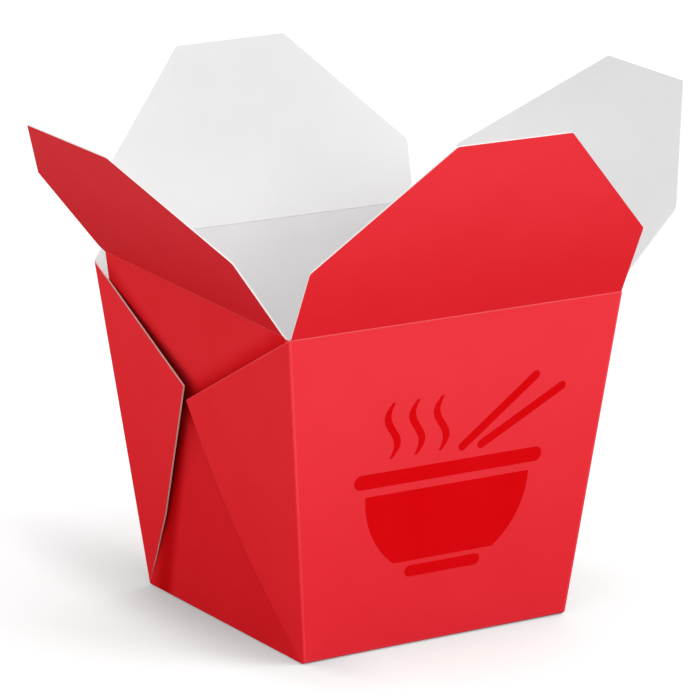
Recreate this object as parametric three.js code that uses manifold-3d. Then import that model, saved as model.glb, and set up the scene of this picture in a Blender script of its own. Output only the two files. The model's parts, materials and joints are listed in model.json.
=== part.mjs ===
// Noodle takeaway box, open and empty: one sheet of paperboard folded into a tapered
// square tub, with a lid of four hexagonal flaps that stand open.
// Millimetres, +Z up. The printed front panel faces -Y, and the origin is the centre
// of the underside, where the box rests.

import * as THREE from 'three';
import { mergeVertices } from 'three/addons/utils/BufferGeometryUtils.js';
import Module from 'manifold-3d';

// Board
const BOARD = 0.45;
const HINGE_GAP = 0.5; // from a crease to the cut edge of the board on either side of it

// Tub: a square frustum, its rim lowest at the front and highest at the back
const BASE_HALF = 44;
const RIM_HALF = 55;
const FRONT_CREASE = 96.5;
const SIDE_CREASE_FRONT = 97.4;
const SIDE_CREASE_BACK = 101.5;
const BACK_CREASE = 102.3;
const BLANK_TOP = 112; // the walls are cut down from this height

// Back panel: its top corners are cut off between the rim corner and the crease
const BACK_CORNER_Z = 96.8;
const BACK_CREASE_HALF = 51.1;

// Side panel: its back edge stops short of the back corner and leaves a narrow slot
const SLOT_FOOT = { y: 45.6, z: 20 };
const SLOT_TOP_Y = 47.1;
const SLOT_CLEAR = 0.05;

// Front gusset, a doubled triangle of board folded back against the side panel: its free
// tip, how far its bowed lower fold swings backwards, and the steps along that fold
const GUSSET_TIP = { y: 2.8, z: 66.9, proud: 2.6 };
const GUSSET_BOW = 4.1;
const GUSSET_STEPS = 8;

// Glue flap, wrapped round from the back panel and standing a little off the side panel
const GLUE_TIP = { y: 1.9, z: 71.3, proud: 3.4 };
const GLUE_BEND = { y: 26, z: 26.7, proud: 1.4 };

// Lid flaps: degrees that each leans out from upright, and half outlines or outlines
// as [along the crease, height above the crease]
const LEAN = { front: 26.5, back: 15.6, left: 37, right: 40 };
const FRONT_FLAP = [[54.2, 0], [54.2, 22.9], [18.4, 60.5]];
const BACK_FLAP = [[51, 0], [54.4, 4], [55.3, 17.4], [18.1, 53.6]];
const LEFT_FLAP = [[-52.4, 0], [-54.2, 28.4], [-15.3, 56.4], [31.8, 55.4], [54.2, 30.1], [49, 2], [47, 0]];
const RIGHT_FLAP = [[-52.4, 0], [-54, 27.5], [-22.4, 63.9], [14.6, 63.9], [54.2, 20], [49, 2], [47, 0]];

const FACE_LEAN = (RIM_HALF - BASE_HALF) / FRONT_CREASE;
const INSET = BOARD * Math.hypot(1, FACE_LEAN);

const board = new THREE.MeshStandardMaterial({ color: 0xe6323c, roughness: 0.55, metalness: 0 });

const wasm = await Module();
wasm.setup();

// Half width of the tub's outside at a height
function wallHalf(z) {
  return BASE_HALF + FACE_LEAN * z;
}

// Height of the side creases at a distance along the box
function sideCrease(y) {
  return THREE.MathUtils.mapLinear(y, -RIM_HALF, RIM_HALF, SIDE_CREASE_FRONT, SIDE_CREASE_BACK);
}

// Solid from a closed three.js geometry
function solidFrom(geometry) {
  geometry.deleteAttribute('normal');
  geometry.deleteAttribute('uv');
  const merged = mergeVertices(geometry, 1e-5);
  const vertProperties = new Float32Array(merged.attributes.position.array);
  const triVerts = new Uint32Array(merged.index.array);
  return new wasm.Manifold(new wasm.Mesh({ numProp: 3, vertProperties, triVerts }));
}

// Three.js geometry from a solid
function geometryFrom(solid) {
  const mesh = solid.getMesh();
  const geometry = new THREE.BufferGeometry();
  geometry.setAttribute('position', new THREE.BufferAttribute(mesh.vertProperties, 3));
  geometry.setIndex(new THREE.BufferAttribute(mesh.triVerts, 1));
  const flat = geometry.toNonIndexed();
  flat.computeVertexNormals();
  return flat;
}

// Square frustum between two heights, its faces moved inwards by an inset
function frustum(inset, bottom, top) {
  const radius = (z) => (wallHalf(z) - inset) * Math.SQRT2;
  const geometry = new THREE.CylinderGeometry(radius(top), radius(bottom), top - bottom, 4, 1, false, Math.PI / 4);
  geometry.rotateX(Math.PI / 2);
  geometry.translate(0, 0, (top + bottom) / 2);
  return solidFrom(geometry);
}

// Prism on an outline drawn across the box, [x, z], running from one y to another
function prismAlongY(outline, fromY, toY) {
  const shape = new THREE.Shape(outline.map(([x, z]) => new THREE.Vector2(x, z)));
  const geometry = new THREE.ExtrudeGeometry(shape, { depth: toY - fromY, bevelEnabled: false });
  geometry.rotateX(Math.PI / 2);
  geometry.translate(0, toY, 0);
  return solidFrom(geometry);
}

// Prism on an outline drawn along the box, [y, z], running from one x to another
function prismAlongX(outline, fromX, toX) {
  const shape = new THREE.Shape(outline.map(([y, z]) => new THREE.Vector2(y, z)));
  const geometry = new THREE.ExtrudeGeometry(shape, { depth: toX - fromX, bevelEnabled: false });
  geometry.rotateX(Math.PI / 2);
  geometry.rotateZ(Math.PI / 2);
  geometry.translate(fromX, 0, 0);
  return solidFrom(geometry);
}

// Bottom and four walls, each wall cut down to just below its crease
function tubWalls() {
  const outside = frustum(0, 0, BLANK_TOP);
  const inside = frustum(INSET, BOARD, BLANK_TOP + 1);
  const frontTop = FRONT_CREASE - HINGE_GAP;
  const backTop = BACK_CREASE - HINGE_GAP;
  const reach = RIM_HALF + 20;
  const innerWall = (z) => wallHalf(z) - INSET - SLOT_CLEAR;
  const above = BLANK_TOP + 5;
  const frontCut = prismAlongY(
    [[-reach, frontTop], [reach, frontTop], [reach, above], [-reach, above]],
    -reach, -innerWall(frontTop),
  );
  const backCut = prismAlongY(
    [[-reach, BACK_CORNER_Z], [-wallHalf(BACK_CORNER_Z) - 0.1, BACK_CORNER_Z],
      [-BACK_CREASE_HALF, backTop], [BACK_CREASE_HALF, backTop],
      [wallHalf(BACK_CORNER_Z) + 0.1, BACK_CORNER_Z], [reach, BACK_CORNER_Z],
      [reach, above], [-reach, above]],
    SLOT_TOP_Y + 1, reach,
  );
  const sideOutline = [
    [-reach, sideCrease(-reach) - HINGE_GAP], [SLOT_TOP_Y, sideCrease(SLOT_TOP_Y) - HINGE_GAP],
    [SLOT_FOOT.y, SLOT_FOOT.z], [innerWall(SLOT_FOOT.z), SLOT_FOOT.z],
    [innerWall(above), above], [-reach, above],
  ];
  const leftCut = prismAlongX(sideOutline, -reach, -BASE_HALF);
  const rightCut = prismAlongX(sideOutline, BASE_HALF, reach);
  return outside.subtract(inside).subtract(frontCut).subtract(backCut).subtract(leftCut).subtract(rightCut);
}

// Point on a side panel, side -1 left or 1 right, lifted off its outer face
function sidePoint(side, { y, z, proud = 0 }) {
  return new THREE.Vector3(side * (wallHalf(z) + proud), y, z);
}

// Layers of board that fan out from a hub to a row of points, thickened inwards
function fanSheet(side, hub, row, layers) {
  const outer = [hub, ...row];
  const inwards = new THREE.Vector3(-side, 0, FACE_LEAN).normalize().multiplyScalar(BOARD * layers);
  const inner = outer.map((point) => point.clone().add(inwards));
  const count = outer.length;
  const faces = [];
  for (let i = 1; i < count - 1; i += 1) {
    faces.push([0, i, i + 1], [count, count + i + 1, count + i]);
  }
  for (let i = 0; i < count; i += 1) {
    const next = (i + 1) % count;
    faces.push([i, count + i, next], [next, count + i, count + next]);
  }
  const points = [...outer, ...inner];
  const turned = facesOut(points, faces) ? faces : faces.map(([a, b, c]) => [a, c, b]);
  const geometry = new THREE.BufferGeometry();
  geometry.setAttribute('position', new THREE.Float32BufferAttribute(points.flatMap((p) => p.toArray()), 3));
  geometry.setIndex(turned.flat());
  return solidFrom(geometry);
}

// Whether a closed set of faces points outwards, from the sign of its volume
function facesOut(points, faces) {
  let volume = 0;
  for (const [a, b, c] of faces) {
    volume += points[a].dot(points[b].clone().cross(points[c]));
  }
  return volume > 0;
}

// Lower fold of the gusset, from the bottom front corner up to the tip, bowed backwards
function gussetFold(side) {
  const start = new THREE.Vector2(-BASE_HALF, 0);
  const end = new THREE.Vector2(GUSSET_TIP.y, GUSSET_TIP.z);
  const along = end.clone().sub(start);
  const across = new THREE.Vector2(along.y, -along.x).normalize();
  const points = [];
  for (let i = 0; i <= GUSSET_STEPS; i += 1) {
    const t = i / GUSSET_STEPS;
    const at = start.clone().addScaledVector(along, t).addScaledVector(across, GUSSET_BOW * 4 * t * (1 - t));
    points.push(sidePoint(side, { y: at.x, z: at.y, proud: GUSSET_TIP.proud * t }));
  }
  return points;
}

// What is folded over a side panel: the doubled gusset in front, the glue flap behind
function sideLayers(side) {
  const frontTop = FRONT_CREASE - HINGE_GAP;
  const frontCorner = sidePoint(side, { y: -wallHalf(frontTop), z: frontTop });
  const backCorner = sidePoint(side, { y: wallHalf(BACK_CORNER_Z), z: BACK_CORNER_Z });
  const backFoot = sidePoint(side, { y: BASE_HALF, z: 0 });
  const glueEdge = [backFoot, sidePoint(side, GLUE_BEND), sidePoint(side, GLUE_TIP)];
  return [fanSheet(side, frontCorner, gussetFold(side), 2), fanSheet(side, backCorner, glueEdge, 1)];
}

function tub() {
  let solid = tubWalls();
  for (const layer of [...sideLayers(-1), ...sideLayers(1)]) {
    solid = solid.add(layer);
  }
  const mesh = new THREE.Mesh(geometryFrom(solid), board);
  mesh.name = 'tub';
  return mesh;
}

// Outline of a flap that is the same on both sides of its middle
function mirrored(half) {
  return [...half, ...half.map(([along, height]) => [-along, height]).reverse()];
}

// Flap in its own frame: the crease along X, upright along Y, outwards along Z
function flapMesh(name, outline, lean) {
  const lifted = outline.map(([along, height]) => new THREE.Vector2(along, Math.max(height, HINGE_GAP)));
  const geometry = new THREE.ExtrudeGeometry(new THREE.Shape(lifted), { depth: BOARD, bevelEnabled: false });
  geometry.translate(0, 0, -BOARD / 2);
  const mesh = new THREE.Mesh(geometry, board);
  mesh.name = name;
  mesh.rotation.x = THREE.MathUtils.degToRad(lean);
  return mesh;
}

// Group whose X runs along a crease, left to right as seen from outside, and Z outwards
function creaseFrame(middle, along, outwards) {
  const x = along.clone().normalize();
  const z = outwards.clone().addScaledVector(x, -outwards.dot(x)).normalize();
  const y = z.clone().cross(x);
  const frame = new THREE.Group();
  frame.position.copy(middle);
  frame.quaternion.setFromRotationMatrix(new THREE.Matrix4().makeBasis(x, y, z));
  return frame;
}

// Distance of a wall's middle layer from the axis of the box at a height
function wallMiddle(z) {
  return wallHalf(z) - INSET / 2;
}

function frontFlap() {
  const middle = new THREE.Vector3(0, -wallMiddle(FRONT_CREASE), FRONT_CREASE);
  const frame = creaseFrame(middle, new THREE.Vector3(1, 0, 0), new THREE.Vector3(0, -1, 0));
  return frame.add(flapMesh('flap_front', mirrored(FRONT_FLAP), LEAN.front));
}

function backFlap() {
  const middle = new THREE.Vector3(0, wallMiddle(BACK_CREASE), BACK_CREASE);
  const frame = creaseFrame(middle, new THREE.Vector3(-1, 0, 0), new THREE.Vector3(0, 1, 0));
  return frame.add(flapMesh('flap_back', mirrored(BACK_FLAP), LEAN.back));
}

// Side flaps: the crease climbs towards the back, and the outline is given front to back
function sideFlap(name, side, outline, lean) {
  const front = sideCreasePoint(side, -RIM_HALF);
  const back = sideCreasePoint(side, RIM_HALF);
  const middle = front.clone().add(back).multiplyScalar(0.5);
  const along = back.clone().sub(front).multiplyScalar(side);
  const frame = creaseFrame(middle, along, new THREE.Vector3(side, 0, 0));
  return frame.add(flapMesh(name, outline.map(([y, height]) => [side * y, height]), lean));
}

function sideCreasePoint(side, y) {
  return new THREE.Vector3(side * wallMiddle(sideCrease(y)), y, sideCrease(y));
}

const noodleBox = new THREE.Group();
noodleBox.add(
  tub(),
  frontFlap(),
  backFlap(),
  sideFlap('flap_left', -1, LEFT_FLAP, LEAN.left),
  sideFlap('flap_right', 1, RIGHT_FLAP, LEAN.right),
);

export default noodleBox;
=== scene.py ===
import json
import math

import bmesh
import bpy
from mathutils import Matrix, Vector


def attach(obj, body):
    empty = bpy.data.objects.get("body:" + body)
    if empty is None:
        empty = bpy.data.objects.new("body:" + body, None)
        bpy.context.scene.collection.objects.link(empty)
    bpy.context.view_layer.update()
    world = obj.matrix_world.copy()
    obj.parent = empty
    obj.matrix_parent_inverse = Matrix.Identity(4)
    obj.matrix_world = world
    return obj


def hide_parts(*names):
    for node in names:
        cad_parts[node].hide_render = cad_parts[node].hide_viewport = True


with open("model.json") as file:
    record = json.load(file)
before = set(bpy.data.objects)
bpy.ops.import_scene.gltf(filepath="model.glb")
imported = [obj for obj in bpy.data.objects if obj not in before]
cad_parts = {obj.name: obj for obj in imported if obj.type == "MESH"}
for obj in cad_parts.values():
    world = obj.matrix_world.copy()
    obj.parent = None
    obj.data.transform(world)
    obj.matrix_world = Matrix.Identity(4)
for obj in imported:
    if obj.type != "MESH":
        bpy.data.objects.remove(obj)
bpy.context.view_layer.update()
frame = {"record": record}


# Camera
# The photograph looks down on the box from its front left through a long lens. The aim is
# a point beside the box's axis, and the camera stands back from it.

CAMERA_TURN = math.radians(-31.54)
CAMERA_RISE = math.radians(14.38)
CAMERA_DISTANCE = 1.2412
CAMERA_LENS = 219.0
CAMERA_SENSOR = 36.0
CAMERA_SEES = (0.1, 50.0)
AIM_ACROSS = -0.00147
AIM_UP = 0.0724


def turned_to(x_axis, y_axis, z_axis):
    """Matrix that turns an object's own axes to these three directions."""
    return Matrix((x_axis, y_axis, z_axis)).transposed().to_4x4()


camera_right = Vector((math.cos(CAMERA_TURN), math.sin(CAMERA_TURN), 0))
camera_back = Vector((
    math.sin(CAMERA_TURN) * math.cos(CAMERA_RISE),
    -math.cos(CAMERA_TURN) * math.cos(CAMERA_RISE),
    math.sin(CAMERA_RISE),
))
camera_up = camera_back.cross(camera_right)
camera_place = camera_right * AIM_ACROSS + camera_up * AIM_UP + camera_back * CAMERA_DISTANCE
bpy.ops.object.camera_add()
camera = bpy.context.object
camera.name = "camera"
camera.matrix_world = Matrix.Translation(camera_place) @ turned_to(
    camera_right, camera_up, camera_back
)
camera.data.lens = CAMERA_LENS
camera.data.sensor_width = CAMERA_SENSOR
camera.data.clip_start, camera.data.clip_end = CAMERA_SEES
bpy.context.scene.camera = camera
bpy.context.scene.view_settings.view_transform = "Standard"


# Tub
# One sheet of paperboard, red outside and white inside, creased round a square bottom and
# folded up into four leaning panels. A doubled gusset of the front panel folds back over
# each side panel, a glue flap of the back panel wraps round it, and cut edges are raw fibre.

CLOUD_SIZE = 60.0
CLOUD_DETAIL = 3.0
FIBRE_SIZE = 1400.0
FIBRE_DETAIL = 4.0
FIBRE_ROUGHNESS = 0.6


def board_fibre():
    """Shader group: faint cloudy mottling and the fine relief of the board's fibres."""
    group = bpy.data.node_groups.new("board_fibre", "ShaderNodeTree")
    for name, value in (("Cloud Size", CLOUD_SIZE), ("Fibre Size", FIBRE_SIZE)):
        socket = group.interface.new_socket(name, in_out="INPUT", socket_type="NodeSocketFloat")
        socket.default_value = value
    for name in ("Cloud", "Relief"):
        group.interface.new_socket(name, in_out="OUTPUT", socket_type="NodeSocketFloat")
    nodes, links = group.nodes, group.links
    sizes = nodes.new("NodeGroupInput")
    place = nodes.new("ShaderNodeTexCoord")
    cloud = nodes.new("ShaderNodeTexNoise")
    cloud.inputs["Detail"].default_value = CLOUD_DETAIL
    fibre = nodes.new("ShaderNodeTexNoise")
    fibre.inputs["Detail"].default_value = FIBRE_DETAIL
    fibre.inputs["Roughness"].default_value = FIBRE_ROUGHNESS
    result = nodes.new("NodeGroupOutput")
    for noise, size in ((cloud, "Cloud Size"), (fibre, "Fibre Size")):
        links.new(place.outputs["Object"], noise.inputs["Vector"])
        links.new(sizes.outputs[size], noise.inputs["Scale"])
    links.new(cloud.outputs["Fac"], result.inputs["Cloud"])
    links.new(fibre.outputs["Fac"], result.inputs["Relief"])
    return group


BOARD_FIBRE = board_fibre()
BOARD_SHEEN = 0.005
FIBRE_HEIGHT = 0.00005
CLOUD_DARK_TO = 0.3
CLOUD_LIGHT_FROM = 0.7
RED_BOUNCE = 0.15
# Each finish is its least roughness, its greatest, and the strength of its fibre relief.
PRINTED = (0.46, 0.56, 0.25)
STRETCHED = (0.4, 0.5, 0.3)
UNPRINTED = (0.6, 0.75, 0.4)
CUT = (0.75, 0.9, 0.6)


def board_material(name, dark, light, finish, bounce=1.0):
    """Board finish: its colour and roughness drift with the cloud, its relief is fibre.

    A bounce below 1 dims the colour that the board throws on what stands near it.
    """
    smooth, rough, relief = finish
    material = bpy.data.materials.new(name)
    material.use_nodes = True
    nodes, links = material.node_tree.nodes, material.node_tree.links
    shader = nodes["Principled BSDF"]
    shader.inputs["Specular IOR Level"].default_value = BOARD_SHEEN
    fibre = nodes.new("ShaderNodeGroup")
    fibre.node_tree = BOARD_FIBRE
    tint = nodes.new("ShaderNodeValToRGB")
    tint.color_ramp.elements[0].position = CLOUD_DARK_TO
    tint.color_ramp.elements[0].color = (*dark, 1)
    tint.color_ramp.elements[1].position = CLOUD_LIGHT_FROM
    tint.color_ramp.elements[1].color = (*light, 1)
    sheen = nodes.new("ShaderNodeMapRange")
    sheen.inputs["To Min"].default_value = smooth
    sheen.inputs["To Max"].default_value = rough
    bump = nodes.new("ShaderNodeBump")
    bump.inputs["Strength"].default_value = relief
    bump.inputs["Distance"].default_value = FIBRE_HEIGHT
    links.new(fibre.outputs["Cloud"], tint.inputs["Fac"])
    links.new(fibre.outputs["Relief"], sheen.inputs["Value"])
    links.new(fibre.outputs["Relief"], bump.inputs["Height"])
    links.new(sheen.outputs["Result"], shader.inputs["Roughness"])
    links.new(bump.outputs["Normal"], shader.inputs["Normal"])
    thrown = nodes.new("ShaderNodeLightPath")
    dimmed = nodes.new("ShaderNodeMix")
    dimmed.data_type = "RGBA"
    dimmed.blend_type = "MULTIPLY"
    dimmed.inputs["B"].default_value = (bounce, bounce, bounce, 1)
    links.new(thrown.outputs["Is Diffuse Ray"], dimmed.inputs["Factor"])
    links.new(tint.outputs["Color"], dimmed.inputs["A"])
    links.new(dimmed.outputs["Result"], shader.inputs["Base Color"])
    return material


outside_red = board_material(
    "outside_red", (0.87, 0.038, 0.051), (0.89, 0.041, 0.056), PRINTED, RED_BOUNCE
)
inside_white = board_material(
    "inside_white", (0.86, 0.85, 0.85), (0.88, 0.87, 0.87), UNPRINTED
)
cut_edge = board_material("cut_edge", (0.95, 0.88, 0.87), (0.98, 0.93, 0.92), CUT)
glue_edge = board_material("glue_edge", (0.97, 0.52, 0.48), (0.99, 0.60, 0.55), CUT)
# fold_red is painted lighter than the walls: a painted highlight along the folds, partly
# stretched print.
fold_red = board_material(
    "fold_red", (0.94, 0.060, 0.078), (0.97, 0.078, 0.098), STRETCHED, RED_BOUNCE
)
# gusset_red, on the gussets and glue flaps, is painted a lighter, deeper red than the walls, so
# that they look lit above the shaded recess.
gusset_red = board_material(
    "gusset_red", (0.92, 0.028, 0.038), (0.94, 0.031, 0.042), PRINTED, RED_BOUNCE
)
# recess_red, the side panels' red, carries the painted shade of the recess and the painted
# shadows beside the gusset and glue flap.
recess_red = board_material(
    "recess_red", (0.89, 0.025, 0.034), (0.91, 0.028, 0.038), PRINTED, RED_BOUNCE
)


def paint_light_and_shade(material, direction, stops, below=None):
    """Multiply a board's colour by painted shade: tones that change with the distance along a
    direction.

    With below, two heights, the tones hold under the first and are gone above the second.
    """
    nodes, links = material.node_tree.nodes, material.node_tree.links
    low, high = stops[0][0], stops[-1][0]
    place = nodes.new("ShaderNodeTexCoord")
    along = nodes.new("ShaderNodeVectorMath")
    along.operation = "DOT_PRODUCT"
    along.inputs[1].default_value = direction
    span = nodes.new("ShaderNodeMapRange")
    span.inputs["From Min"].default_value = low
    span.inputs["From Max"].default_value = high
    tones = nodes.new("ShaderNodeValToRGB")
    ramp = tones.color_ramp
    ramp.interpolation = "EASE"
    ramp.elements[0].color = (*stops[0][1], 1)
    ramp.elements[1].color = (*stops[-1][1], 1)
    for distance, tone in stops[1:-1]:
        ramp.elements.new((distance - low) / (high - low)).color = (*tone, 1)
    deepened = nodes.new("ShaderNodeMix")
    deepened.data_type = "RGBA"
    deepened.blend_type = "MULTIPLY"
    deepened.inputs["Factor"].default_value = 1.0
    if below:
        height = nodes.new("ShaderNodeSeparateXYZ")
        share = nodes.new("ShaderNodeMapRange")
        share.inputs["From Min"].default_value, share.inputs["From Max"].default_value = below
        share.inputs["To Min"].default_value = 1.0
        share.inputs["To Max"].default_value = 0.0
        links.new(place.outputs["Object"], height.inputs["Vector"])
        links.new(height.outputs["Z"], share.inputs["Value"])
        links.new(share.outputs["Result"], deepened.inputs["Factor"])
    base = nodes["Principled BSDF"].inputs["Base Color"]
    print_colour = base.links[0].from_socket
    links.new(place.outputs["Object"], along.inputs[0])
    links.new(along.outputs["Value"], span.inputs["Value"])
    links.new(span.outputs["Result"], tones.inputs["Fac"])
    links.new(print_colour, deepened.inputs["A"])
    links.new(tones.outputs["Color"], deepened.inputs["B"])
    links.new(deepened.outputs["Result"], base)


# Painted shade: the red deepens a little towards the foot and in the recess behind the gusset.
# It is deepest in painted shadows beside the gusset's top fold and the glue flap's two edges:
# each has the direction that leads off it, and the distances and tones of its shade. The lower
# edge's stops short.
PLAIN_TONE = (1, 1, 1)
UPWARDS = (0, 0, 1)
FOOT_SHADE = ((0.0, (0.94, 0.64, 0.70)), (0.095, PLAIN_TONE))
RECESS_SHADE = ((0.055, (0.96, 0.80, 0.82)), (0.075, PLAIN_TONE))
OFF_GUSSET_FOLD = (0, 0.4558, 0.8901)
GUSSET_FOLD_SHADE = (
    (0.0508, PLAIN_TONE), (0.0608, (0.86, 0.22, 0.30)), (0.0678, PLAIN_TONE),
)
OFF_UPPER_EDGE = (0, -0.5367, 0.8439)
UPPER_EDGE_SHADE = (
    (0.0452, PLAIN_TONE), (0.0532, (0.72, 0.20, 0.26)), (0.0612, PLAIN_TONE),
)
OFF_LOWER_EDGE = (0, -0.9295, -0.3687)
LOWER_EDGE_DEEPEST = (0.74, 0.15, 0.20)
LOWER_EDGE_SHADE = (
    (-0.0400, PLAIN_TONE), (-0.0340, LOWER_EDGE_DEEPEST), (-0.0320, LOWER_EDGE_DEEPEST),
    (-0.0268, PLAIN_TONE),
)
LOWER_EDGE_TOP = (0.052, 0.066)
for red in (outside_red, fold_red, gusset_red, recess_red):
    paint_light_and_shade(red, UPWARDS, FOOT_SHADE)
paint_light_and_shade(recess_red, UPWARDS, RECESS_SHADE)
paint_light_and_shade(recess_red, OFF_GUSSET_FOLD, GUSSET_FOLD_SHADE)
paint_light_and_shade(recess_red, OFF_UPPER_EDGE, UPPER_EDGE_SHADE)
paint_light_and_shade(recess_red, OFF_LOWER_EDGE, LOWER_EDGE_SHADE, below=LOWER_EDGE_TOP)

# The slots come in threes, as the Solidify modifier uses them: outside, inside and rim.
PANEL_SLOTS = (
    outside_red, inside_white, cut_edge,
    fold_red, inside_white, cut_edge,
    gusset_red, gusset_red, gusset_red,
    recess_red, inside_white, cut_edge,
    gusset_red, inside_white, glue_edge,
)
PLAIN = 0
FOLD = 3
DOUBLED = 6
RECESS = 9
GLUE = 12
INSIDE = 1
RIM = 2

# Sizes in metres. A tip or bend is its distance along the box, its height, and how far it
# stands off the side panel.
BOARD = 0.00045
BASE_HALF = 0.044
RIM_HALF = 0.055
FRONT_CREASE = 0.0965
SIDE_CREASE_FRONT = 0.0974
SIDE_CREASE_BACK = 0.1015
BACK_CREASE = 0.1023
BACK_CORNER_Z = 0.0968
BACK_CREASE_HALF = 0.0511
SIDE_FRONT_Y = -0.0541
SIDE_CREASE_START = -0.0524
SIDE_CUT_Y = -0.0544
SLOT_TOP_Y = 0.0471
GUSSET_TIP = (0.0028, 0.0669, 0.0026)
GUSSET_BOW = 0.0041
GUSSET_STEPS = 12
GLUE_TIP = (0.0019, 0.0713, 0.0034)
GLUE_BEND = (0.026, 0.0267, 0.0014)
FRONT_FOLD_ROUND = 0.001
FRONT_FOLD_STEPS = 5
FOLD_ROUND = 0.0003
OUTER_FOLD_STEPS = 3
INNER_FOLD_STEPS = 2
EDGE_ROUND = 0.00025
EDGE_STEPS = 2
FOLD_ANGLE = math.radians(30)
SMOOTH_ANGLE = math.radians(35)
FACE_LEAN = (RIM_HALF - BASE_HALF) / FRONT_CREASE
NEAR = 0.00005
# The share of a face's normal along an axis: one that looks that way has more than the first,
# and one square to it less than the second. The back half of a front fold's round has more
# than the third, and a side panel's front end more than the fourth.
FACING = 0.9
SQUARE = 0.01
FOLD_BACK = 0.6
FRONT_END = 0.7


def wall_half(z):
    """Half width of the tub's outside at a height."""
    return BASE_HALF + FACE_LEAN * z


def side_crease(y):
    """Height of the side creases at a distance along the box."""
    rise = SIDE_CREASE_BACK - SIDE_CREASE_FRONT
    return SIDE_CREASE_FRONT + rise * (y + RIM_HALF) / (2 * RIM_HALF)


def side_point(side, y, z, proud=0.0):
    """Point on a side panel, side -1 left or 1 right, lifted off its outer face."""
    return Vector((side * (wall_half(z) + proud), y, z))


def front_corner(side):
    """Top corner of the front panel, where its gusset begins."""
    return Vector((side * RIM_HALF, -RIM_HALF, FRONT_CREASE))


def back_corner(side):
    """Top corner of the back panel, where its glue flap begins."""
    return Vector((side * wall_half(BACK_CORNER_Z), wall_half(BACK_CORNER_Z), BACK_CORNER_Z))


def start_editing(piece):
    """Go into edit mode on one piece with nothing selected."""
    bpy.ops.object.select_all(action="DESELECT")
    piece.select_set(True)
    bpy.context.view_layer.objects.active = piece
    bpy.ops.object.mode_set(mode="EDIT")
    bpy.ops.mesh.select_mode(type="VERT")
    bpy.ops.mesh.select_all(action="DESELECT")


def pick(test, kind="verts"):
    """In edit mode, select only the vertices, edges or faces that pass a test."""
    bpy.ops.mesh.select_all(action="DESELECT")
    sheet = bmesh.from_edit_mesh(bpy.context.edit_object.data)
    for element in getattr(sheet, kind):
        if test(element):
            element.select_set(True)
    if kind == "verts":
        sheet.select_flush(True)
    bmesh.update_edit_mesh(bpy.context.edit_object.data)


def pick_at(*places):
    """In edit mode, select only the vertices at these places."""
    pick(lambda vert: any((vert.co - place).length < NEAR for place in places))


def draw_on(start, *places):
    """From the vertex at a place, extrude a chain of edges through other places."""
    at = start
    for place in places:
        pick_at(at)
        bpy.ops.mesh.extrude_region_move(TRANSFORM_OT_translate={"value": place - at})
        at = place


def panel_between(*places):
    """In edit mode, fill a panel between the vertices at these places."""
    pick_at(*places)
    bpy.ops.mesh.edge_face_add()


def apply_modifiers(piece):
    """Apply all of a piece's modifiers in turn."""
    bpy.ops.object.select_all(action="DESELECT")
    piece.select_set(True)
    bpy.context.view_layer.objects.active = piece
    for modifier in list(piece.modifiers):
        bpy.ops.object.modifier_apply(modifier=modifier.name)


# A square bottom and four leaning panels, open at the top and parted along their folds.
bpy.ops.object.select_all(action="DESELECT")
bpy.ops.mesh.primitive_cube_add(size=2 * BASE_HALF, location=(0, 0, BASE_HALF))
tub_sheet = bpy.context.object
tub_sheet.name = "tub_sheet"
bpy.ops.object.transform_apply(location=True, rotation=True, scale=True)
start_editing(tub_sheet)
pick(lambda vert: vert.co.z > BASE_HALF)
bpy.ops.transform.resize(value=(RIM_HALF / BASE_HALF, RIM_HALF / BASE_HALF, 1))
bpy.ops.transform.translate(value=(0, 0, FRONT_CREASE - 2 * BASE_HALF))
pick(lambda face: face.normal.z > FACING, "faces")
bpy.ops.mesh.delete(type="ONLY_FACE")
pick(lambda edge: abs(edge.verts[0].co.z - edge.verts[1].co.z) > BASE_HALF, "edges")
bpy.ops.mesh.edge_split(type="EDGE")


def on_side(face, side):
    """True for a face of a side panel, side -1 left or 1 right."""
    return face.normal.x * side > FACING


def within_front_fold(vert):
    """True for a point so near the front panel that the round of its fold takes its place."""
    return vert.co.y < FRONT_FOLD_ROUND + NEAR - wall_half(vert.co.z)


# Each side panel gets its sloping top edge, the cut at its front end, and its end behind
# the round of the front fold. The back panel's corner comes down to its glue flap.
for side in (-1, 1):
    for end, y in ((-1, SIDE_FRONT_Y), (1, SLOT_TOP_Y)):
        corner = Vector((side * RIM_HALF, end * RIM_HALF, FRONT_CREASE))
        pick(lambda vert: (vert.co - corner).length < NEAR
             and all(abs(face.normal.x) > FACING for face in vert.link_faces))
        bpy.ops.transform.translate(value=side_point(side, y, side_crease(y)) - corner)
    pick(lambda face: on_side(face, side), "faces")
    bpy.ops.mesh.bisect(plane_co=(0, SIDE_CREASE_START, 0), plane_no=(0, 1, 0))
    crease_end = side_point(side, SIDE_FRONT_Y, side_crease(SIDE_FRONT_Y))
    pick_at(crease_end)
    bpy.ops.transform.translate(value=side_point(side, SIDE_CUT_Y, FRONT_CREASE) - crease_end)
    pick(lambda face: on_side(face, side), "faces")
    bpy.ops.mesh.bisect(
        plane_co=(0, FRONT_FOLD_ROUND - BASE_HALF, 0), plane_no=(0, 1, FACE_LEAN)
    )
    pick(lambda face: on_side(face, side)
         and all(within_front_fold(vert) for vert in face.verts), "faces")
    bpy.ops.mesh.delete(type="ONLY_FACE")
    rim_corner = Vector((side * RIM_HALF, RIM_HALF, FRONT_CREASE))
    pick_at(rim_corner)
    bpy.ops.transform.translate(value=back_corner(side) - rim_corner)
bpy.ops.mesh.select_all(action="SELECT")
bpy.ops.mesh.delete_loose()

# The back panel rises to its crease, between its two slanting corners.
crease_ends = [
    Vector((side * BACK_CREASE_HALF, wall_half(BACK_CREASE), BACK_CREASE)) for side in (-1, 1)
]
draw_on(back_corner(-1), *crease_ends)
panel_between(back_corner(-1), *crease_ends, back_corner(1))


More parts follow.
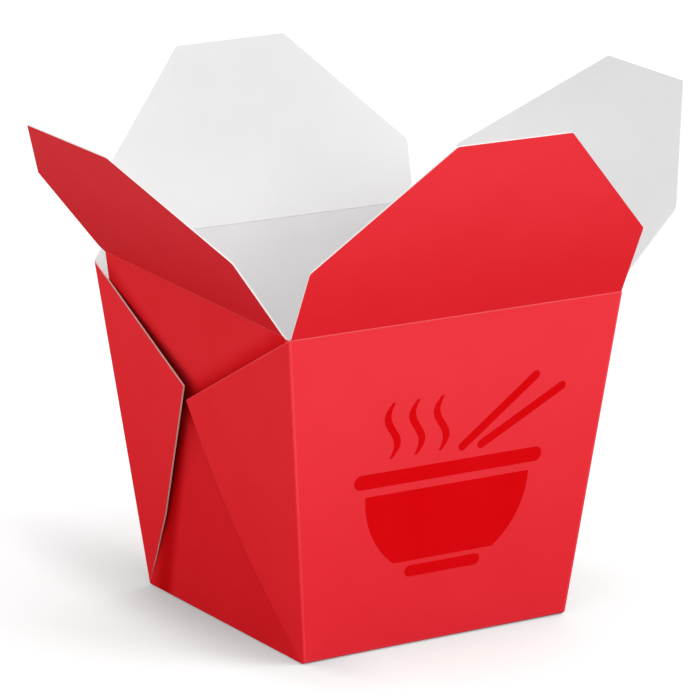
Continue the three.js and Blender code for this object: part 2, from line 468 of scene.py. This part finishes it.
def gusset_fold(side):
    """Lower fold of a gusset from its tip down to the bottom corner, bowed backwards."""
    foot = Vector((-BASE_HALF, 0))
    along = Vector(GUSSET_TIP[:2]) - foot
    across = Vector((along.y, -along.x)).normalized()
    points = []
    for step in range(GUSSET_STEPS, 0, -1):
        t = step / GUSSET_STEPS
        at = foot + along * t + across * GUSSET_BOW * 4 * t * (1 - t)
        points.append(side_point(side, at.x, at.y, GUSSET_TIP[2] * t))
    return points


for side in (-1, 1):
    fold = gusset_fold(side)
    front_foot = Vector((side * BASE_HALF, -BASE_HALF, 0))
    draw_on(front_corner(side), *fold)
    panel_between(front_corner(side), *fold, front_foot)
    flap_edge = [side_point(side, *GLUE_TIP), side_point(side, *GLUE_BEND)]
    back_foot = Vector((side * BASE_HALF, BASE_HALF, 0))
    draw_on(back_corner(side), *flap_edge)
    panel_between(back_corner(side), *flap_edge, back_foot)

# The sheet gets its thickness, twice as much where the gussets are doubled.
bpy.ops.mesh.select_all(action="SELECT")
bpy.ops.mesh.normals_make_consistent(inside=False)
bpy.ops.object.mode_set(mode="OBJECT")
for slot_material in PANEL_SLOTS:
    tub_sheet.data.materials.append(slot_material)
layers = tub_sheet.vertex_groups.new(name="layers")
layers.add(range(len(tub_sheet.data.vertices)), 0.5, "REPLACE")
for face in tub_sheet.data.polygons:
    if abs(face.normal.x) > FACING and abs(face.normal.y) < SQUARE:
        face.material_index = RECESS
    elif abs(face.normal.x) > FACING and face.normal.y > 0:
        face.material_index = GLUE
    if len(face.vertices) > GUSSET_STEPS:
        face.material_index = DOUBLED
        free = [i for i in face.vertices if tub_sheet.data.vertices[i].co.y > -BASE_HALF + NEAR]
        layers.add(free, 1.0, "REPLACE")
board_thickness = tub_sheet.modifiers.new("board", "SOLIDIFY")
board_thickness.thickness = 2 * BOARD
board_thickness.vertex_group = "layers"
board_thickness.offset = -1
board_thickness.use_even_offset = True
board_thickness.material_offset = INSIDE
board_thickness.material_offset_rim = RIM
apply_modifiers(tub_sheet)


def is_fold(edge, slots):
    """True for a sharp edge between two panels whose faces both have one of these slots."""
    return (len(edge.link_faces) == 2 and edge.calc_face_angle() > FOLD_ANGLE
            and all(face.material_index in slots for face in edge.link_faces))


def on_front_fold(vert):
    """True for a point on the outside of the front panel's folds to its gussets."""
    half = wall_half(vert.co.z)
    return abs(abs(vert.co.x) - half) < NEAR and abs(vert.co.y + half) < NEAR


def lies_between(vert, start, stop):
    """True for a point on the straight line from one place to another."""
    line = (stop - start).normalized()
    along = (vert.co - start).dot(line)
    aside = (vert.co - start - line * along).length
    return aside < NEAR and -NEAR < along < (stop - start).length + NEAR


# The front folds are the roundest, then all the others, and last the gussets' top folds.
# Along them the red is painted lighter, a painted highlight that is partly stretched print. The
# back half of a front fold is gusset red, so the painted highlight lies on its front half; the
# side panels run on into the gussets there, so their front ends aren't cut edges.
start_editing(tub_sheet)
pick(lambda edge: is_fold(edge, (PLAIN, DOUBLED))
     and all(on_front_fold(vert) for vert in edge.verts), "edges")
bpy.ops.mesh.bevel(offset=FRONT_FOLD_ROUND, segments=FRONT_FOLD_STEPS, material=FOLD)
pick(lambda face: face.material_index == FOLD and abs(face.normal.x) > FOLD_BACK, "faces")
tub_sheet.active_material_index = DOUBLED
bpy.ops.object.material_slot_assign()
pick(lambda face: face.material_index == RECESS + RIM and face.normal.y < -FRONT_END, "faces")
tub_sheet.active_material_index = RECESS
bpy.ops.object.material_slot_assign()
pick(lambda edge: is_fold(edge, (PLAIN, FOLD, DOUBLED, RECESS, GLUE)), "edges")
bpy.ops.mesh.bevel(offset=FOLD_ROUND, segments=OUTER_FOLD_STEPS, material=FOLD)
inside_slots = [slot + INSIDE for slot in (PLAIN, DOUBLED, RECESS, GLUE)]
pick(lambda edge: is_fold(edge, inside_slots), "edges")
bpy.ops.mesh.bevel(offset=FOLD_ROUND, segments=INNER_FOLD_STEPS, material=PLAIN + INSIDE)
for side in (-1, 1):
    corner, tip = front_corner(side), side_point(side, *GUSSET_TIP)
    pick(lambda edge: all(lies_between(vert, corner, tip) for vert in edge.verts)
         and edge.calc_length() > (tip - corner).length / 2, "edges")
    bpy.ops.mesh.bevel(offset=EDGE_ROUND, segments=EDGE_STEPS, material=FOLD)
bpy.ops.object.mode_set(mode="OBJECT")
bpy.ops.object.shade_smooth_by_angle(angle=SMOOTH_ANGLE)
flat_panels = tub_sheet.modifiers.new("flat_panels", "WEIGHTED_NORMAL")
flat_panels.keep_sharp = True
apply_modifiers(tub_sheet)
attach(tub_sheet, "tub")
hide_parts("tub")


# Lid flaps
# Four hexagonal flaps, one on each panel of the tub, cut from the same sheet and creased
# where they join it. They lean outwards, and their cut edges show the white board.

# Outlines are in millimetres along the crease and up the flap, leans in degrees.
FLAPS = {
    "flap_front": {
        "outline": [(-54.2, 0), (54.2, 0), (54.2, 22.9), (18.4, 60.5), (-18.4, 60.5),
                    (-54.2, 22.9)],
        "lean": 26.5,
    },
    "flap_back": {
        "outline": [(-51, 0), (51, 0), (54.4, 4), (54.4, 11.6), (18.6, 53.9), (-17.8, 54.4),
                    (-55.6, 18.4), (-55, 5)],
        "lean": 15.6,
    },
    "flap_left": {
        "outline": [(-47, 0), (52.4, 0), (54.2, 28.4), (15.3, 56.4), (-31.8, 55.4),
                    (-54.2, 30.1), (-49, 2)],
        "lean": 37.0,
    },
    "flap_right": {
        "outline": [(-52.4, 0), (47, 0), (49, 2), (54.2, 22), (15.1, 64.2), (-22.9, 64.2),
                    (-54.5, 27.5)],
        "lean": 40.0,
    },
}
OUTWARDS = {
    "flap_front": Vector((0, -1, 0)), "flap_back": Vector((0, 1, 0)),
    "flap_left": Vector((-1, 0, 0)), "flap_right": Vector((1, 0, 0)),
}
MM_PER_METRE = 1000
BLANK = 0.01
FLAP_SHOULDER = 0.01
CORNER_ROUND = 0.001
CORNER_STEPS = 4
# Painted light and shade on the flaps: their red darkens towards the crease, and their white is
# lighter than the tub's inside at the crease and darkens towards the top.
FLAP_RED_SHADE = ((0.096, (0.90, 0.50, 0.55)), (0.150, PLAIN_TONE))
FLAP_WHITE_SHADE = ((0.100, PLAIN_TONE), (0.150, (0.88, 0.88, 0.88)))

flap_red = board_material(
    "flap_red", (0.92, 0.037, 0.050), (0.94, 0.041, 0.055), PRINTED, RED_BOUNCE
)
paint_light_and_shade(flap_red, UPWARDS, FLAP_RED_SHADE)
flap_white = board_material("flap_white", (0.92, 0.91, 0.91), (0.94, 0.93, 0.93), UNPRINTED)
paint_light_and_shade(flap_white, UPWARDS, FLAP_WHITE_SHADE)
joints = {joint["child"]: joint for joint in frame["record"]["behaviour"]["joints"]}


def crease_frame(node, lean):
    """Frame on a crease: X along it, Y up the flap at its lean, Z out of its red face."""
    along = Vector(joints[node]["axis"]).normalized()
    outwards = OUTWARDS[node]
    out = (outwards - along * outwards.dot(along)).normalized()
    upright = turned_to(along, out.cross(along), out)
    leaning = upright @ Matrix.Rotation(math.radians(lean), 4, "X")
    return Matrix.Translation(Vector(joints[node]["pos_m"])) @ leaning


def lid_flap(node, outline, lean):
    """A flap of board: its outline is drawn, filled, rounded at the corners and thickened."""
    corners = [
        Vector((across / MM_PER_METRE, height / MM_PER_METRE, 0)) for across, height in outline
    ]
    bpy.ops.object.select_all(action="DESELECT")
    bpy.ops.mesh.primitive_plane_add(size=BLANK)
    flap = bpy.context.object
    flap.name = "lid_" + node
    start_editing(flap)
    bpy.ops.mesh.select_all(action="SELECT")
    bpy.ops.mesh.merge(type="CENTER")
    bpy.ops.transform.translate(value=corners[0])
    draw_on(*corners)
    bpy.ops.mesh.select_all(action="SELECT")
    bpy.ops.mesh.edge_face_add()
    bpy.ops.mesh.normals_make_consistent(inside=False)
    if bmesh.from_edit_mesh(flap.data).faces[0].normal.z < 0:
        bpy.ops.mesh.flip_normals()
    pick(lambda vert: vert.co.y > FLAP_SHOULDER)
    bpy.ops.mesh.bevel(
        offset=CORNER_ROUND, offset_type="WIDTH", segments=CORNER_STEPS, affect="VERTICES"
    )
    bpy.ops.object.mode_set(mode="OBJECT")
    for slot_material in (flap_red, flap_white, cut_edge):
        flap.data.materials.append(slot_material)
    thickness = flap.modifiers.new("board", "SOLIDIFY")
    thickness.thickness = BOARD
    thickness.offset = 0
    thickness.use_even_offset = True
    thickness.material_offset = INSIDE
    thickness.material_offset_rim = RIM
    flap.matrix_world = crease_frame(node, lean)
    apply_modifiers(flap)
    bpy.ops.object.transform_apply(location=True, rotation=True, scale=True)
    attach(flap, node)
    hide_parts(node)


for node, flap_sizes in FLAPS.items():
    lid_flap(node, **flap_sizes)


# Creases of the lid
# The scored line where each flap joins its panel: the board is crushed to a thin roll that
# the flap turns about, with its red outside painted lighter, a painted highlight that is partly
# stretched print, and white board inside.

ROLL_STEPS = 16
ROLL_LEAN = 6.5
ROLL_SMOOTH_ANGLE = math.radians(40)
# crease_red is a painted highlight: a red lighter than the board's own, partly stretched print.
crease_red = board_material(
    "crease_red", (0.97, 0.09, 0.105), (0.99, 0.105, 0.125), STRETCHED, RED_BOUNCE
)
CREASES = {
    "flap_front": {"ends": (-0.0542, 0.0542), "proud": 0.00013, "outside": crease_red},
    "flap_back": {"ends": (-0.051, 0.051), "proud": 0.00013, "outside": crease_red},
    "flap_left": {"ends": (-0.047, 0.0524), "proud": 0.00006, "outside": fold_red},
    "flap_right": {"ends": (-0.0524, 0.047), "proud": 0.00006, "outside": fold_red},
}


def crease_roll(node, ends, proud, outside):
    """The thin roll of board along a crease, red on its outer half and white on its inner."""
    start, end = ends
    bpy.ops.object.select_all(action="DESELECT")
    bpy.ops.mesh.primitive_cylinder_add(
        vertices=ROLL_STEPS, radius=BOARD / 2 + proud, depth=end - start
    )
    roll = bpy.context.object
    roll.name = "crease_" + node
    lying = Matrix.Rotation(math.pi / 2, 4, "Y")
    roll.data.transform(Matrix.Translation(((start + end) / 2, 0, 0)) @ lying)
    for slot_material in (outside, inside_white, cut_edge):
        roll.data.materials.append(slot_material)
    for face in roll.data.polygons:
        if abs(face.normal.x) > FACING:
            face.material_index = RIM
        elif face.normal.z < 0:
            face.material_index = INSIDE
    roll.matrix_world = crease_frame(node, ROLL_LEAN)
    apply_modifiers(roll)
    bpy.ops.object.transform_apply(location=True, rotation=True, scale=True)
    bpy.ops.object.shade_smooth_by_angle(angle=ROLL_SMOOTH_ANGLE)
    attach(roll, "tub")


for node, roll_sizes in CREASES.items():
    crease_roll(node, **roll_sizes)


# Print on the front panel
# A plain bowl with chopsticks and steam, printed in a deeper red than the board's own. It
# is a film of ink, so it is nearly flush and follows the lean of the front panel.

INKED = (0.4, 0.5, 0.2)
INK_PROUD = 0.00004
INK_DEPTH = 0.00008
PRINT_HEIGHT = 0.047
BOWL_RADIUS = 0.027
BOWL_DEPTH = 0.0215
BOWL_STEPS = 96
# Each bar is its width, its height, its place across and up, and its turn in degrees.
BOWL_LIP = (0.062, 0.0044, 0.0, 0.0046)
BOWL_FOOT = (0.025, 0.0034, 0.0, -0.0246)
CHOPSTICKS = ((0.032, 0.0026, 0.0156, 0.01965, 38), (0.032, 0.0026, 0.0233, 0.0173, 28))
# A bar's ends are rounded by a hair less than half its height, so that they don't meet.
BAR_ROUND = 1 / 2.001
BAR_STEPS = 8
STEAM_AT = (-0.0195, -0.0115, -0.0035)
STEAM_WIDTH = 0.0026
STEAM_HEIGHT = 0.0165
STEAM_BASE = 0.0105
STEAM_WAVE = 0.0018
STEAM_STEPS = 24
# A wisp's width follows this stretch of half a sine wave, so that both its ends are blunt.
WISP_FROM = 0.12
WISP_SPAN = 0.76

ink_red = board_material("ink_red", (0.72, 0.002, 0.004), (0.74, 0.003, 0.006), INKED)


def new_shape(add, **sizes):
    """Add one flat shape of the print and go into edit mode on it with all selected."""
    bpy.ops.object.select_all(action="DESELECT")
    add(**sizes)
    shape = bpy.context.object
    start_editing(shape)
    bpy.ops.mesh.select_all(action="SELECT")
    return shape


def rounded_bar(width, height, across, up, turn=0.0):
    """A bar with rounded ends, turned about its middle."""
    bar = new_shape(bpy.ops.mesh.primitive_plane_add, size=1)
    bpy.ops.transform.resize(value=(width, height, 1))
    bpy.ops.mesh.bevel(
        offset=height * BAR_ROUND, offset_type="OFFSET", segments=BAR_STEPS, affect="VERTICES"
    )
    bpy.ops.object.mode_set(mode="OBJECT")
    turned = Matrix.Rotation(math.radians(turn), 4, "Z")
    bar.data.transform(Matrix.Translation((across, up, 0)) @ turned)
    return bar


def steam_wisp(across):
    """A wisp of steam: an upright band that swings from side to side and narrows at its ends."""
    wisp = new_shape(
        bpy.ops.mesh.primitive_grid_add, x_subdivisions=1, y_subdivisions=STEAM_STEPS, size=1
    )
    bpy.ops.transform.resize(value=(STEAM_WIDTH, STEAM_HEIGHT, 1))
    bpy.ops.object.mode_set(mode="OBJECT")
    for vert in wisp.data.vertices:
        way_up = vert.co.y / STEAM_HEIGHT + 0.5
        width = math.sin(math.pi * (WISP_FROM + WISP_SPAN * way_up))
        vert.co.x = vert.co.x * width + STEAM_WAVE * math.sin(2 * math.pi * way_up)
    wisp.data.transform(Matrix.Translation((across, STEAM_BASE + STEAM_HEIGHT / 2, 0)))
    return wisp


bowl = new_shape(
    bpy.ops.mesh.primitive_circle_add, vertices=BOWL_STEPS, radius=BOWL_RADIUS, fill_type="NGON"
)
bpy.ops.mesh.bisect(plane_co=(0, 0, 0), plane_no=(0, 1, 0), clear_outer=True)
bpy.ops.mesh.select_all(action="SELECT")
bpy.ops.mesh.bisect(plane_co=(0, -BOWL_DEPTH, 0), plane_no=(0, -1, 0), clear_outer=True)
bpy.ops.object.mode_set(mode="OBJECT")
bowl.name = "front_print"
ink_shapes = [bowl, rounded_bar(*BOWL_LIP), rounded_bar(*BOWL_FOOT)]
ink_shapes += [rounded_bar(*stick) for stick in CHOPSTICKS]
ink_shapes += [steam_wisp(across) for across in STEAM_AT]
bpy.ops.object.select_all(action="DESELECT")
for shape in ink_shapes:
    shape.select_set(True)
bpy.context.view_layer.objects.active = bowl
bpy.ops.object.join()
bowl.data.materials.clear()
bowl.data.materials.append(ink_red)
ink_film = bowl.modifiers.new("film", "SOLIDIFY")
ink_film.thickness = INK_DEPTH
ink_film.offset = -1
apply_modifiers(bowl)
panel_tilt = math.atan(FACE_LEAN)
panel_right = Vector((1, 0, 0))
panel_up = Vector((0, -math.sin(panel_tilt), math.cos(panel_tilt)))
panel_out = panel_right.cross(panel_up)
panel_place = Vector((0, -wall_half(PRINT_HEIGHT), PRINT_HEIGHT)) + panel_out * INK_PROUD
bowl.matrix_world = Matrix.Translation(panel_place) @ turned_to(
    panel_right, panel_up, panel_out
)
bpy.ops.object.transform_apply(location=True, rotation=True, scale=True)
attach(bowl, "tub")


# Floor and light
# A plain white studio: the box stands on a pale sweep inside a white surround. A broad soft
# light stands to its front right, two small ones face its front, and one grazes its left.

FLOOR_SIZE = 6
FLOOR_DROP = 0.0002
FLOOR_BOUNCED = (0.6, 0.6, 0.6, 1)
FLOOR_SEEN = (0.97, 0.97, 0.97, 1)
FLOOR_ROUGHNESS = 0.9
FLOOR_SHEEN = 0.1
SHADE_MIDDLE = (-0.0438, 0.022, 0)
SHADE_REACH = (0.0277, 0.1426)
GLOW_IN_SHADE = 0.0625
GLOW = 0.298
WHITE = (1, 1, 1, 1)
SURROUND = 0.75
LIGHT_AIM = (0, 0, 0.07)

bpy.ops.object.select_all(action="DESELECT")
bpy.ops.mesh.primitive_plane_add(size=FLOOR_SIZE, location=(0, 0, -FLOOR_DROP))
floor = bpy.context.object
floor.name = "floor"
floor_white = bpy.data.materials.new("floor_white")
floor_white.use_nodes = True
floor_nodes, floor_links = floor_white.node_tree.nodes, floor_white.node_tree.links
floor_shader = floor_nodes["Principled BSDF"]
floor_shader.inputs["Roughness"].default_value = FLOOR_ROUGHNESS
floor_shader.inputs["Specular IOR Level"].default_value = FLOOR_SHEEN
floor_shader.inputs["Emission Color"].default_value = WHITE

# The sweep is whiter to the camera than it bounces.
seen_directly = floor_nodes.new("ShaderNodeLightPath")
sweep_tone = floor_nodes.new("ShaderNodeMix")
sweep_tone.data_type = "RGBA"
sweep_tone.inputs["A"].default_value = FLOOR_BOUNCED
sweep_tone.inputs["B"].default_value = FLOOR_SEEN
floor_links.new(seen_directly.outputs["Is Camera Ray"], sweep_tone.inputs["Factor"])
floor_links.new(sweep_tone.outputs["Result"], floor_shader.inputs["Base Color"])

# It glows a little to the camera too, and less in a painted shadow along the box's left foot.
sweep_place = floor_nodes.new("ShaderNodeTexCoord")
from_middle = floor_nodes.new("ShaderNodeVectorMath")
from_middle.operation = "SUBTRACT"
from_middle.inputs[1].default_value = SHADE_MIDDLE
in_reaches = floor_nodes.new("ShaderNodeVectorMath")
in_reaches.operation = "MULTIPLY"
in_reaches.inputs[1].default_value = (1 / SHADE_REACH[0], 1 / SHADE_REACH[1], 0)
distance = floor_nodes.new("ShaderNodeVectorMath")
distance.operation = "LENGTH"
glow_there = floor_nodes.new("ShaderNodeMapRange")
glow_there.interpolation_type = "SMOOTHSTEP"
glow_there.inputs["To Min"].default_value = GLOW_IN_SHADE
glow_there.inputs["To Max"].default_value = GLOW
sweep_glow = floor_nodes.new("ShaderNodeMath")
sweep_glow.operation = "MULTIPLY"
floor_links.new(sweep_place.outputs["Object"], from_middle.inputs[0])
floor_links.new(from_middle.outputs["Vector"], in_reaches.inputs[0])
floor_links.new(in_reaches.outputs["Vector"], distance.inputs[0])
floor_links.new(distance.outputs["Value"], glow_there.inputs["Value"])
floor_links.new(glow_there.outputs["Result"], sweep_glow.inputs[1])
floor_links.new(seen_directly.outputs["Is Camera Ray"], sweep_glow.inputs[0])
floor_links.new(sweep_glow.outputs["Value"], floor_shader.inputs["Emission Strength"])
floor.data.materials.append(floor_white)

world = bpy.data.worlds.new("studio")
world.use_nodes = True
surround = world.node_tree.nodes["Background"]
surround.inputs["Color"].default_value = WHITE
surround.inputs["Strength"].default_value = SURROUND
bpy.context.scene.world = world


def soft_light(name, place, size, power):
    """A square soft light at a place, turned to face the box."""
    bpy.ops.object.light_add(type="AREA", location=place)
    light = bpy.context.object
    light.name = name
    light.data.size = size
    light.data.energy = power
    light.visible_camera = False
    facing = (Vector(LIGHT_AIM) - Vector(place)).to_track_quat("-Z", "Y")
    light.rotation_euler = facing.to_euler()


soft_light("front_light", place=(-0.35, -1.1, 0.4), size=0.3, power=1.7)
soft_light("low_light", place=(0, -1.1, 0.16), size=0.3, power=1.1)
soft_light("key_light", place=(0.9, -1.1, 1.2), size=0.9, power=8)
soft_light("side_light", place=(-0.8, 1.6, 0.5), size=0.5, power=6.6)
